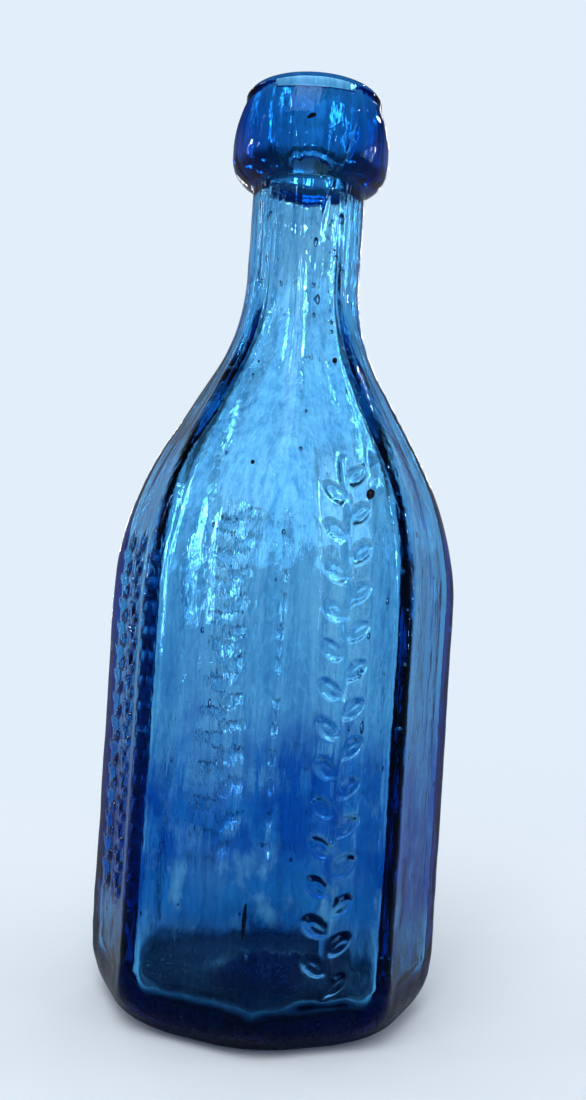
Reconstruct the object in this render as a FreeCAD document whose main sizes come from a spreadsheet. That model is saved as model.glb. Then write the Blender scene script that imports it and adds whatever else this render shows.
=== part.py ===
"""Eight-sided mineral water bottle, blown in a mould as one piece of glass, with a rolled blob lip.

Millimetres, +Z up. The origin is the middle of the ring that the bottle stands on.
The flats face +X, -X, +Y, -Y and the four directions between them.

The glass is a turned form with eight panels and eight narrow corner lands cut on it, as the mould
was cut. The hollow is a smaller form of the same kind.
"""

import FreeCAD, Part
from enum import IntEnum
import math
import os
import Sketcher

Vector = FreeCAD.Vector

SIZES = {
    # overall
    "full_height": 186.4,
    "across_flats": 65.5,
    "across_corners": 70.0,
    # heel and underside
    "heel_round": 7.8,
    "foot_reach": 26.5,
    "foot_corner_reach": 27.6,
    "ring_reach": 24.0,
    "ring_round": 3.0,
    "push_up": 4.0,
    "pontil_reach": 10.0,
    # turned neck
    "neck_reach": 11.6,
    "neck_length": 18.0,
    "neck_flare_radius": 41.0,
    "neck_flare_angle": 36.0,
    # shoulder, up the middle of a panel
    "panel_flank_angle": 29.1,
    "panel_convex_radius": 66.8,
    "panel_concave_radius": 43.8,
    "panel_neck_reach": 11.45,
    "panel_neck_drop": 1.0,
    # shoulder, up a corner
    "corner_flank_angle": 30.75,
    "corner_convex_radius": 62.5,
    "corner_concave_radius": 41.0,
    "corner_neck_reach": 11.4,
    # lip
    "lip_reach": 16.1,
    "lip_height": 20.4,
    "lip_roll": 5.5,
    "lip_band": 2.0,
    "lip_side_radius": 23.0,
    "lip_top_round": 3.5,
    # inside
    "bore_reach": 8.3,
    "mouth_bevel": 1.2,
    "panel_wall": 4.2,
    "corner_wall": 5.2,
    "floor_thickness": 8.0,
    "floor_round": 9.0,
    "well_reach": 21.0,
    "well_corner_reach": 21.9,
}

SIDES = 8
HALF_SIDE_ANGLE = 180 / SIDES
# How far a cutting shape runs past the glass that it cuts, and how far the turned form stands
# outside the corners before they are cut.
OVERLAP = 8.0
SPARE = 0.6
# How much narrower than the bore the hollow's neck is, so that the bore cuts it cleanly.
BORE_STEP = 0.2


class At(IntEnum):
    """Numbers by which a sketch knows the points of an edge."""

    START = 1
    END = 2
    CENTRE = 3


class Axis(IntEnum):
    """Numbers by which a sketch knows the two lines through its origin."""

    GROUND = -1
    BOTTLE = -2


ORIGIN = (Axis.GROUND, At.START)

doc = FreeCAD.newDocument("bottle")
sheet = doc.addObject("Spreadsheet::Sheet", "Sizes")
for row, (alias, value) in enumerate(SIZES.items(), start=1):
    sheet.set(f"A{row}", alias)
    sheet.set(f"B{row}", str(value))
    sheet.setAlias(f"B{row}", alias)
doc.recompute()

# Sizes that follow from the others, as formulas.
NECK_BASE = "(Sizes.full_height - Sizes.lip_height - Sizes.neck_length)"
PANEL_REACH = "(Sizes.across_flats / 2)"
CORNER_REACH = "(Sizes.across_corners / 2)"
SHARP_CORNER = f"({PANEL_REACH} / cos({HALF_SIDE_ANGLE}))"
NECK_WALL = "(Sizes.neck_reach - Sizes.bore_reach)"
PANEL_NECK_HEIGHT = f"({NECK_BASE} - Sizes.panel_neck_drop)"
HOLLOW_NECK_REACH = f"(Sizes.bore_reach - {BORE_STEP})"


def number(formula):
    """Works out a formula of the sheet's sizes."""
    return float(sheet.evalExpression(formula))


def half_section(body, name, turn=0):
    """Starts a sketch of a body. X is the distance from the bottle's axis and Y is the height."""
    sketch = body.newObject("Sketcher::SketchObject", name)
    upright = next(plane for plane in body.Origin.OriginFeatures if plane.Role == "XZ_Plane")
    sketch.AttachmentSupport = (upright, [""])
    sketch.MapMode = "FlatFace"
    rotation = FreeCAD.Rotation(Vector(0, 1, 0), turn)
    sketch.AttachmentOffset = FreeCAD.Placement(Vector(0, 0, 0), rotation)
    return sketch


def line(sketch, start, end):
    """Adds a straight edge between two (reach, height) points and gives its number."""
    return sketch.addGeometry(Part.LineSegment(Vector(*start, 0), Vector(*end, 0)))


def arc(sketch, centre, radius, start_angle, end_angle):
    """Adds an arc, counter-clockwise between two angles in degrees, and gives its number."""
    circle = Part.Circle(Vector(*centre, 0), Vector(0, 0, 1), radius)
    return sketch.addGeometry(
        Part.ArcOfCircle(circle, math.radians(start_angle), math.radians(end_angle))
    )


def rule(sketch, kind, *where):
    """Adds a constraint without a size, such as Coincident, Tangent, Horizontal or Vertical."""
    sketch.addConstraint(Sketcher.Constraint(kind, *where))


def dimension(sketch, formula, kind, *where):
    """Adds a size that follows the sheet."""
    index = sketch.addConstraint(Sketcher.Constraint(kind, *where, number(formula)))
    sketch.setExpression(f"Constraints[{index}]", formula)


def lean_back(sketch, formula, edge):
    """Leans a rising edge towards the bottle's axis by an angle from the upright."""
    slope = f"90 + {formula}"
    index = sketch.addConstraint(Sketcher.Constraint("Angle", edge, math.radians(number(slope))))
    sketch.setExpression(f"Constraints[{index}]", slope)


def turn(body, name, sketch, kind="PartDesign::Revolution"):
    """Turns a half section all the way round, as added glass or, as a groove, as a cut."""
    before = body.Shape.Volume if not body.Shape.isNull() else 0
    feature = body.newObject(kind, name)
    feature.Profile = sketch
    feature.ReferenceAxis = (sketch, ["V_Axis"])
    feature.Angle = 360
    doc.recompute()
    grew = feature.Shape.Volume > before
    if grew != (kind == "PartDesign::Revolution"):
        raise RuntimeError(f"{name} turned the wrong way")
    return feature


def cut_all_sides(body, name, sketch):
    """Cuts straight through along a side, and repeats the cut at all the sides."""
    before = body.Shape.Volume
    cut = body.newObject("PartDesign::Pocket", name)
    cut.Profile = sketch
    cut.Type = "ThroughAll"
    cut.Midplane = True
    pattern = body.newObject("PartDesign::PolarPattern", f"{name}_pattern")
    pattern.Originals = [cut]
    pattern.Axis = (sketch, ["V_Axis"])
    pattern.Angle = 360
    pattern.Occurrences = SIDES
    body.Tip = pattern
    doc.recompute()
    if not before * 0.2 < pattern.Shape.Volume < before:
        raise RuntimeError(f"{name} cut nothing, or everything")


def blank_section(body, foot, reach, neck, flare, top):
    """Half section of the turned form: a drum, a cone and a flare into the neck."""
    angle = number("Sizes.neck_flare_angle")
    low, wide, narrow, high = number(foot), number(reach), number(neck), number(top)
    radius, start = number(flare), number(NECK_BASE)
    bend = (
        narrow + radius * (1 - math.cos(math.radians(angle))),
        start - radius * math.sin(math.radians(angle)),
    )
    drum_top = bend[1] - (wide - bend[0]) / math.tan(math.radians(angle))
    sketch = half_section(body, f"{body.Name}_blank_section")
    floor = line(sketch, (0, low), (wide, low))
    drum = line(sketch, (wide, low), (wide, drum_top))
    cone = line(sketch, (wide, drum_top), bend)
    flare_arc = arc(sketch, (narrow + radius, start), radius, 180, 180 + angle)
    throat = line(sketch, (narrow, start), (narrow, high))
    ceiling = line(sketch, (narrow, high), (0, high))
    axis = line(sketch, (0, high), (0, low))
    rule(sketch, "Coincident", floor, At.END, drum, At.START)
    rule(sketch, "Coincident", drum, At.END, cone, At.START)
    rule(sketch, "Tangent", cone, At.END, flare_arc, At.END)
    rule(sketch, "Tangent", flare_arc, At.START, throat, At.START)
    rule(sketch, "Coincident", throat, At.END, ceiling, At.START)
    rule(sketch, "Coincident", ceiling, At.END, axis, At.START)
    rule(sketch, "Coincident", axis, At.END, floor, At.START)
    rule(sketch, "PointOnObject", axis, At.START, Axis.BOTTLE)
    for upright in (axis, drum, throat):
        rule(sketch, "Vertical", upright)
    for level in (floor, ceiling):
        rule(sketch, "Horizontal", level)
    dimension(sketch, reach, "DistanceX", *ORIGIN, drum, At.START)
    dimension(sketch, neck, "DistanceX", *ORIGIN, throat, At.START)
    dimension(sketch, NECK_BASE, "DistanceY", *ORIGIN, throat, At.START)
    dimension(sketch, top, "DistanceY", *ORIGIN, throat, At.END)
    dimension(sketch, flare, "Radius", flare_arc)
    lean_back(sketch, "Sizes.neck_flare_angle", cone)
    if low:
        dimension(sketch, foot, "DistanceY", *ORIGIN, drum, At.START)
    else:
        rule(sketch, "PointOnObject", drum, At.START, Axis.GROUND)
    return sketch


def side_section(body, name, azimuth, foot, foot_reach, foot_round, reach, convex, flank, concave,
                 neck, neck_height):
    """Section of what is cut away outside one side: foot, upright, shoulder and run-out."""
    low, start, soft, wide = number(foot), number(foot_reach), number(foot_round), number(reach)
    bulge, hollow, angle = number(convex), number(concave), number(flank)
    narrow, high = number(neck), number(neck_height)
    lean = math.radians(angle)
    heel_angle = math.degrees(math.acos((start - wide + soft) / soft))
    heel_height = low + soft * math.sin(math.radians(heel_angle))
    run = ((wide - narrow) - (bulge + hollow) * (1 - math.cos(lean))) / math.sin(lean)
    hollow_start = (narrow + hollow * (1 - math.cos(lean)), high - hollow * math.sin(lean))
    bulge_end = (
        hollow_start[0] + run * math.sin(lean),
        hollow_start[1] - run * math.cos(lean),
    )
    base = bulge_end[1] - bulge * math.sin(lean)
    rise = math.degrees(math.asin(OVERLAP / hollow))
    out_reach = narrow + hollow * (1 - math.cos(math.radians(rise)))
    far, above, below = wide + OVERLAP, high + OVERLAP, low - OVERLAP
    sketch = half_section(body, f"{body.Name}_{name}_section", azimuth)
    heel = arc(sketch, (wide - soft, heel_height), soft, -heel_angle, 0)
    upright = line(sketch, (wide, heel_height), (wide, base))
    bulge_arc = arc(sketch, (wide - bulge, base), bulge, 0, angle)
    slope = line(sketch, bulge_end, hollow_start)
    hollow_arc = arc(sketch, (narrow + hollow, high), hollow, 180 - rise, 180 + angle)
    ceiling = line(sketch, (out_reach, above), (far, above))
    outer = line(sketch, (far, above), (far, below))
    under = line(sketch, (far, below), (start, below))
    inner = line(sketch, (start, below), (start, low))
    rule(sketch, "Tangent", heel, At.END, upright, At.START)
    rule(sketch, "Tangent", upright, At.END, bulge_arc, At.START)
    rule(sketch, "Tangent", bulge_arc, At.END, slope, At.START)
    rule(sketch, "Tangent", slope, At.END, hollow_arc, At.END)
    rule(sketch, "Coincident", hollow_arc, At.START, ceiling, At.START)
    rule(sketch, "Coincident", ceiling, At.END, outer, At.START)
    rule(sketch, "Coincident", outer, At.END, under, At.START)
    rule(sketch, "Coincident", under, At.END, inner, At.START)
    rule(sketch, "Coincident", inner, At.END, heel, At.START)
    for plumb in (upright, outer, inner):
        rule(sketch, "Vertical", plumb)
    for level in (ceiling, under):
        rule(sketch, "Horizontal", level)
    dimension(sketch, reach, "DistanceX", *ORIGIN, upright, At.START)
    dimension(sketch, foot_reach, "DistanceX", *ORIGIN, inner, At.END)
    dimension(sketch, foot_round, "Radius", heel)
    dimension(sketch, convex, "Radius", bulge_arc)
    dimension(sketch, concave, "Radius", hollow_arc)
    lean_back(sketch, flank, slope)
    dimension(sketch, neck_height, "DistanceY", *ORIGIN, hollow_arc, At.CENTRE)
    dimension(sketch, f"{neck} + {concave}", "DistanceX", *ORIGIN, hollow_arc, At.CENTRE)
    dimension(sketch, f"{neck_height} + {OVERLAP}", "DistanceY", *ORIGIN, outer, At.START)
    dimension(sketch, f"{reach} + {OVERLAP}", "DistanceX", *ORIGIN, outer, At.START)
    dimension(sketch, f"{OVERLAP}", "DistanceY", inner, At.START, inner, At.END)
    if low:
        dimension(sketch, foot, "DistanceY", *ORIGIN, inner, At.END)
    else:
        rule(sketch, "PointOnObject", inner, At.END, Axis.GROUND)
    return sketch


def lip_section(body):
    """Half section of the blob lip: a round roll, a short upright band, a long arc and a soft top."""
    top, reach, roll, side, soft, tall, flat = (
        number(f"Sizes.{name}") for name in (
            "full_height", "lip_reach", "lip_roll", "lip_side_radius", "lip_top_round",
            "lip_height", "lip_band",
        )
    )
    foot = top - tall
    band = foot + roll + flat
    rise = top - soft - band
    soft_centre = reach - side + math.sqrt((side - soft) ** 2 - rise ** 2)
    lean = math.degrees(math.asin(rise / (side - soft)))
    sketch = half_section(body, "lip_section")
    underside = line(sketch, (0, foot), (reach - roll, foot))
    roll_arc = arc(sketch, (reach - roll, foot + roll), roll, -90, 0)
    upright = line(sketch, (reach, foot + roll), (reach, band))
    side_arc = arc(sketch, (reach - side, band), side, 0, lean)
    soft_arc = arc(sketch, (soft_centre, top - soft), soft, lean, 90)
    crown = line(sketch, (soft_centre, top), (0, top))
    axis = line(sketch, (0, top), (0, foot))
    edges = (underside, roll_arc, upright, side_arc, soft_arc, crown)
    for first, second in zip(edges[:-1], edges[1:]):
        rule(sketch, "Tangent", first, At.END, second, At.START)
    rule(sketch, "Coincident", crown, At.END, axis, At.START)
    rule(sketch, "Coincident", axis, At.END, underside, At.START)
    rule(sketch, "PointOnObject", axis, At.START, Axis.BOTTLE)
    rule(sketch, "Vertical", axis)
    rule(sketch, "Vertical", upright)
    rule(sketch, "Horizontal", underside)
    rule(sketch, "Horizontal", crown)
    dimension(sketch, "Sizes.full_height", "DistanceY", *ORIGIN, crown, At.END)
    dimension(sketch, "Sizes.lip_height", "DistanceY", axis, At.END, axis, At.START)
    dimension(sketch, "Sizes.lip_reach", "DistanceX", *ORIGIN, upright, At.START)
    dimension(sketch, "Sizes.lip_band", "DistanceY", upright, At.START, upright, At.END)
    dimension(sketch, "Sizes.lip_roll", "Radius", roll_arc)
    dimension(sketch, "Sizes.lip_side_radius", "Radius", side_arc)
    dimension(sketch, "Sizes.lip_top_round", "Radius", soft_arc)
    return sketch


def mouth_section(body):
    """Half section of the bore, which opens out over a small bevel at the mouth."""
    top, bore, bevel = (number(f"Sizes.{name}") for name in ("full_height", "bore_reach", "mouth_bevel"))
    base = number(NECK_BASE) - OVERLAP
    sketch = half_section(body, "mouth_section")
    floor = line(sketch, (0, base), (bore, base))
    wall = line(sketch, (bore, base), (bore, top - bevel))
    slope = line(sketch, (bore, top - bevel), (bore + bevel, top))
    rise = line(sketch, (bore + bevel, top), (bore + bevel, top + OVERLAP))
    ceiling = line(sketch, (bore + bevel, top + OVERLAP), (0, top + OVERLAP))
    axis = line(sketch, (0, top + OVERLAP), (0, base))
    edges = (floor, wall, slope, rise, ceiling, axis)
    for first, second in zip(edges, edges[1:] + edges[:1]):
        rule(sketch, "Coincident", first, At.END, second, At.START)
    rule(sketch, "PointOnObject", axis, At.START, Axis.BOTTLE)
    for upright in (axis, wall, rise):
        rule(sketch, "Vertical", upright)
    for level in (floor, ceiling):
        rule(sketch, "Horizontal", level)
    dimension(sketch, f"{NECK_BASE} - {OVERLAP}", "DistanceY", *ORIGIN, floor, At.START)
    dimension(sketch, "Sizes.bore_reach", "DistanceX", *ORIGIN, wall, At.START)
    dimension(sketch, "Sizes.mouth_bevel", "DistanceX", slope, At.START, slope, At.END)
    dimension(sketch, "Sizes.mouth_bevel", "DistanceY", slope, At.START, slope, At.END)
    dimension(sketch, "Sizes.full_height", "DistanceY", *ORIGIN, rise, At.START)
    dimension(sketch, f"{OVERLAP}", "DistanceY", rise, At.START, rise, At.END)
    return sketch


def push_up_section(body):
    """Half section of the hollow under the bottle: a flat scar, a low cone and a rounded ring."""
    depth, reach, soft, scar = (
        number(f"Sizes.{name}") for name in ("push_up", "ring_reach", "ring_round", "pontil_reach")
    )
    aside, above = reach - scar, depth - soft
    lean = math.atan2(above, aside) + math.asin(soft / math.hypot(aside, above))
    sketch = half_section(body, "push_up_section")
    flat = line(sketch, (0, depth), (scar, depth))
    touch = (reach - soft * math.sin(lean), soft - soft * math.cos(lean))
    slope = line(sketch, (scar, depth), touch)
    soft_arc = arc(sketch, (reach, soft), soft, 270 - math.degrees(lean), 270)
    drop = line(sketch, (reach, 0), (reach, -OVERLAP))
    below = line(sketch, (reach, -OVERLAP), (0, -OVERLAP))
    axis = line(sketch, (0, -OVERLAP), (0, depth))
    rule(sketch, "Coincident", flat, At.END, slope, At.START)
    rule(sketch, "Tangent", slope, At.END, soft_arc, At.START)
    rule(sketch, "Coincident", soft_arc, At.END, drop, At.START)
    rule(sketch, "Coincident", drop, At.END, below, At.START)
    rule(sketch, "Coincident", below, At.END, axis, At.START)
    rule(sketch, "Coincident", axis, At.END, flat, At.START)
    rule(sketch, "PointOnObject", axis, At.START, Axis.BOTTLE)
    for upright in (axis, drop):
        rule(sketch, "Vertical", upright)
    rule(sketch, "Vertical", soft_arc, At.CENTRE, drop, At.START)
    for level in (flat, below):
        rule(sketch, "Horizontal", level)
    dimension(sketch, "Sizes.push_up", "DistanceY", *ORIGIN, axis, At.END)
    dimension(sketch, "Sizes.pontil_reach", "DistanceX", *ORIGIN, slope, At.START)
    dimension(sketch, "Sizes.ring_reach", "DistanceX", *ORIGIN, drop, At.START)
    dimension(sketch, "Sizes.ring_round", "Radius", soft_arc)
    rule(sketch, "PointOnObject", drop, At.START, Axis.GROUND)
    dimension(sketch, f"{OVERLAP}", "DistanceY", drop, At.END, drop, At.START)
    return sketch


def make_outside():
    """The glass with only its underside hollowed: heel, trunk, shoulder, neck and lip."""
    body = doc.addObject("PartDesign::Body", "outside")
    doc.recompute()
    turn(body, "turned_blank", blank_section(
        body,
        foot="0",
        reach=f"({SHARP_CORNER} + {SPARE})",
        neck="Sizes.neck_reach",
        flare="Sizes.neck_flare_radius",
        top="(Sizes.full_height - Sizes.lip_height + Sizes.lip_roll)",
    ))
    cut_all_sides(body, "panel", side_section(
        body, "panel", 0,
        foot="0",
        foot_reach="Sizes.foot_reach",
        foot_round="Sizes.heel_round",
        reach=PANEL_REACH,
        convex="Sizes.panel_convex_radius",
        flank="Sizes.panel_flank_angle",
        concave="Sizes.panel_concave_radius",
        neck="Sizes.panel_neck_reach",
        neck_height=PANEL_NECK_HEIGHT,
    ))
    cut_all_sides(body, "corner_land", side_section(
        body, "corner", HALF_SIDE_ANGLE,
        foot="0",
        foot_reach="Sizes.foot_corner_reach",
        foot_round="Sizes.heel_round",
        reach=CORNER_REACH,
        convex="Sizes.corner_convex_radius",
        flank="Sizes.corner_flank_angle",
        concave="Sizes.corner_concave_radius",
        neck="Sizes.corner_neck_reach",
        neck_height=NECK_BASE,
    ))
    turn(body, "lip", lip_section(body))
    turn(body, "underside", push_up_section(body), "PartDesign::Groove")
    return body


def make_hollow():
    """What is taken out from above: well, eight-sided inside, inner shoulder and bore."""
    body = doc.addObject("PartDesign::Body", "hollow")
    doc.recompute()
    turn(body, "hollow_blank", blank_section(
        body,
        foot="Sizes.floor_thickness",
        reach=f"({SHARP_CORNER} + {SPARE} - Sizes.panel_wall)",
        neck=HOLLOW_NECK_REACH,
        flare=f"(Sizes.neck_flare_radius + {NECK_WALL})",
        top=f"({NECK_BASE} + {OVERLAP})",
    ))
    cut_all_sides(body, "inner_panel", side_section(
        body, "inner_panel", 0,
        foot="Sizes.floor_thickness",
        foot_reach="Sizes.well_reach",
        foot_round="Sizes.floor_round",
        reach=f"({PANEL_REACH} - Sizes.panel_wall)",
        convex="(Sizes.panel_convex_radius - Sizes.panel_wall)",
        flank="Sizes.panel_flank_angle",
        concave=f"(Sizes.panel_concave_radius + {NECK_WALL})",
        neck=f"(Sizes.panel_neck_reach - {NECK_WALL} - {BORE_STEP})",
        neck_height=PANEL_NECK_HEIGHT,
    ))
    cut_all_sides(body, "inner_corner", side_section(
        body, "inner_corner", HALF_SIDE_ANGLE,
        foot="Sizes.floor_thickness",
        foot_reach="Sizes.well_corner_reach",
        foot_round="Sizes.floor_round",
        reach=f"({CORNER_REACH} - Sizes.corner_wall)",
        convex="(Sizes.corner_convex_radius - Sizes.corner_wall)",
        flank="Sizes.corner_flank_angle",
        concave=f"(Sizes.corner_concave_radius + {NECK_WALL})",
        neck=f"(Sizes.corner_neck_reach - {NECK_WALL} - {BORE_STEP})",
        neck_height=NECK_BASE,
    ))
    turn(body, "bore", mouth_section(body))
    return body


bottle = doc.addObject("Part::Cut", "bottle")
bottle.Label = "bottle"
bottle.Base = make_outside()
bottle.Tool = make_hollow()
bottle.Refine = True
doc.recompute()

for item in doc.Objects:
    if {"Invalid", "Error"} & set(item.State):
        raise RuntimeError(f"{item.Name} did not build: {item.State}")
    if item.TypeId == "Sketcher::SketchObject" and not item.FullyConstrained:
        raise RuntimeError(f"{item.Name} is not fully constrained")
if bottle.Shape.isNull() or not bottle.Shape.isValid() or len(bottle.Shape.Solids) != 1:
    raise RuntimeError("the bottle is not one valid solid")

os.makedirs("parts", exist_ok=True)
bottle.Shape.Solids[0].exportStep(f"parts/{bottle.Label}.step")
print(f"bottle: {bottle.Shape.Volume / 1000:.1f} cubic centimetres, {len(bottle.Shape.Faces)} faces")
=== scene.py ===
# %% [markdown]
# # An eight-sided mineral water bottle in deep blue glass
#
# The real bottle was blown in a mould about a hundred and fifty years ago. It is one piece of
# glass: a heavy base, eight flat panels, a shoulder that fades into a round neck, and a thick lip
# that was laid on afterwards and rolled round. This lesson builds that piece around the packed
# model of the same bottle, in metres, with +Z up and the origin in the middle of the resting ring.

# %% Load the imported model
import bmesh
import bpy
import math
import random
from mathutils import Matrix, Vector, noise


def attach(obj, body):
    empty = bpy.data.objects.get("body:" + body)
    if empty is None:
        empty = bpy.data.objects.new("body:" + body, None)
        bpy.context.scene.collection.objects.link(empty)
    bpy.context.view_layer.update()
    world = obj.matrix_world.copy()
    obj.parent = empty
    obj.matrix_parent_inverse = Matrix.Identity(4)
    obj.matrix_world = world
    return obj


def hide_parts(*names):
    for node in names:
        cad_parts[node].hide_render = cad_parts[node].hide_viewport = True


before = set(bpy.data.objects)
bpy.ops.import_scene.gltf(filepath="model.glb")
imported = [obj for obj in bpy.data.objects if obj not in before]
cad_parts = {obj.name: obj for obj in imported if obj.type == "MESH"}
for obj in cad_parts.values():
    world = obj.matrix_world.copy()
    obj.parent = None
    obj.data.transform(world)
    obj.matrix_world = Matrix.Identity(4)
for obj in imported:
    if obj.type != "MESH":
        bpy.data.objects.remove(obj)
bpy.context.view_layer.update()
MM = 0.001

# %% [markdown]
# ## The camera
#
# The photograph was taken close up, with the eye at half the bottle's height, looking at a corner
# a little left of the middle. The bottle leans to the right, so the camera is rolled the other way.
# A view this close shows strong perspective, so the distance matters as much as the lens.

# %% Place the camera
CAMERA_AZIMUTH = math.radians(-20.5)
CAMERA_DISTANCE = 245.6 * MM
EYE_HEIGHT = 90.3 * MM
LENS = 38.9
AIM_RIGHT = math.radians(0.33)
AIM_UP = math.radians(0.38)
LEAN = math.radians(3.62)


def make_camera():
    """Stands the camera at the photograph's place and turns it by yaw, pitch and roll."""
    data = bpy.data.cameras.new("camera")
    data.lens = LENS
    data.sensor_width = 36
    data.clip_start = 0.01
    camera = bpy.data.objects.new("camera", data)
    bpy.context.scene.collection.objects.link(camera)
    place = Vector((math.sin(CAMERA_AZIMUTH), -math.cos(CAMERA_AZIMUTH), 0)) * CAMERA_DISTANCE
    place.z = EYE_HEIGHT
    heading = Matrix.Rotation(CAMERA_AZIMUTH - AIM_RIGHT, 4, "Z")
    tilt = Matrix.Rotation(math.pi / 2 + AIM_UP, 4, "X")
    roll = Matrix.Rotation(LEAN, 4, "Z")
    camera.matrix_world = Matrix.Translation(place) @ heading @ tilt @ roll
    bpy.context.scene.camera = camera
    return camera


camera = make_camera()
print("camera at, millimetres:", [round(v / MM, 1) for v in camera.location])

# %% [markdown]
# ## Background and soft light
#
# Coloured glass shows what is behind it, so a pale even background does for it what the bright sky
# did outdoors. A painted backdrop could do that too, but a world colour has no edge to show in the
# glass. For rays that came through the glass, the room is darker high up, which keeps the lip deep
# in colour, and a soft glow stands low behind the bottle, where the sun was. Mirror images on the
# outside are dimmed, because outdoors there was less at both sides to mirror.

# %% Colour management and background
scene = bpy.context.scene
scene.view_settings.view_transform = "Standard"
BACKGROUND = (0.76, 0.86, 0.96, 1)
SOFT_LIGHT = (0.92, 0.95, 1.0, 1)
# The room darkens from the first height to the second, as sines of the elevation.
DARKER_FROM, DARKER_TO = 0.26, 0.46
CEILING = 0.14
# A soft glow low behind the bottle: its strength, its reach and the way it is seen.
GLOW = 0.75
GLOW_REACH = math.radians(14)
GLOW_HEADING = (0.3663, 0.9299, 0.035)
# What is left of mirror images on the outside.
MIRRORED = 0.30
LIGHT_STRENGTH = 0.8


def joined(nodes, links, operation, first, second):
    """Joins two values, which are sockets or plain numbers, by one operation."""
    node = nodes.new("ShaderNodeMath")
    node.operation = operation
    for value, socket in ((first, node.inputs[0]), (second, node.inputs[1])):
        if isinstance(value, float):
            socket.default_value = value
        else:
            links.new(value, socket)
    return node.outputs[0]


def ranged(nodes, links, value, low, high, first, second):
    """Maps a value from one range to another, smoothly."""
    reach = nodes.new("ShaderNodeMapRange")
    reach.interpolation_type = "SMOOTHSTEP"
    reach.inputs["From Min"].default_value = low
    reach.inputs["From Max"].default_value = high
    reach.inputs["To Min"].default_value = first
    reach.inputs["To Max"].default_value = second
    links.new(value, reach.inputs["Value"])
    return reach.outputs["Result"]


def ray_kinds(nodes, links):
    """Gives three masks: straight rays, rays that show the background at all, and mirrored rays."""
    path = nodes.new("ShaderNodeLightPath").outputs
    camera_ray = path["Is Camera Ray"]
    glossy = path["Is Glossy Ray"]
    through = path["Is Transmission Ray"]
    shown = joined(nodes, links, "MAXIMUM", camera_ray, glossy)
    shown = joined(nodes, links, "MAXIMUM", shown, through)
    not_through = joined(nodes, links, "SUBTRACT", 1.0, through)
    return camera_ray, shown, joined(nodes, links, "MULTIPLY", glossy, not_through)


def make_world():
    """The background colour for all rays that show it, and soft studio light for the rest."""
    world = bpy.data.worlds.new("studio")
    scene.world = world
    world.use_nodes = True
    nodes, links = world.node_tree.nodes, world.node_tree.links
    nodes.clear()
    camera_ray, shown, mirrored = ray_kinds(nodes, links)
    heading = nodes.new("ShaderNodeTexCoord").outputs["Generated"]
    split = nodes.new("ShaderNodeSeparateXYZ")
    links.new(heading, split.inputs[0])
    level = ranged(nodes, links, split.outputs["Z"], DARKER_FROM, DARKER_TO, 1.0, CEILING)
    near_glow = nodes.new("ShaderNodeVectorMath")
    near_glow.operation = "DOT_PRODUCT"
    near_glow.inputs[1].default_value = GLOW_HEADING
    links.new(heading, near_glow.inputs[0])
    glow = ranged(nodes, links, near_glow.outputs["Value"], math.cos(GLOW_REACH), 1.0, 0.0, GLOW)
    level = joined(nodes, links, "ADD", level, glow)
    dimming = joined(nodes, links, "MULTIPLY", mirrored, 1.0 - MIRRORED)
    level = joined(nodes, links, "MULTIPLY", level, joined(nodes, links, "SUBTRACT", 1.0, dimming))
    straight = nodes.new("ShaderNodeMix")
    straight.inputs["B"].default_value = 1.0
    links.new(camera_ray, straight.inputs["Factor"])
    links.new(level, straight.inputs["A"])
    seen = nodes.new("ShaderNodeBackground")
    seen.inputs["Color"].default_value = BACKGROUND
    links.new(straight.outputs["Result"], seen.inputs["Strength"])
    light = nodes.new("ShaderNodeBackground")
    light.inputs["Color"].default_value = SOFT_LIGHT
    light.inputs["Strength"].default_value = LIGHT_STRENGTH
    mix = nodes.new("ShaderNodeMixShader")
    out = nodes.new("ShaderNodeOutputWorld")
    links.new(shown, mix.inputs["Fac"])
    links.new(light.outputs[0], mix.inputs[1])
    links.new(seen.outputs[0], mix.inputs[2])
    links.new(mix.outputs[0], out.inputs["Surface"])


make_world()
print("background:", BACKGROUND[:3], "soft light:", SOFT_LIGHT[:3])

# %% [markdown]
# ## Floor
#
# The bottle stands on a pale floor that takes its shadow. A small table would show its far edge
# through the glass, so the floor is a wide disc, and it melts into the background colour away from
# the bottle. It follows the same rule for mirror images as the room does.

# %% Lay the floor
FLOOR_REACH = 30.0
FLOOR_PAINT = (0.62, 0.68, 0.73, 1)
FADE_START, FADE_END = 0.08, 0.40


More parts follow.
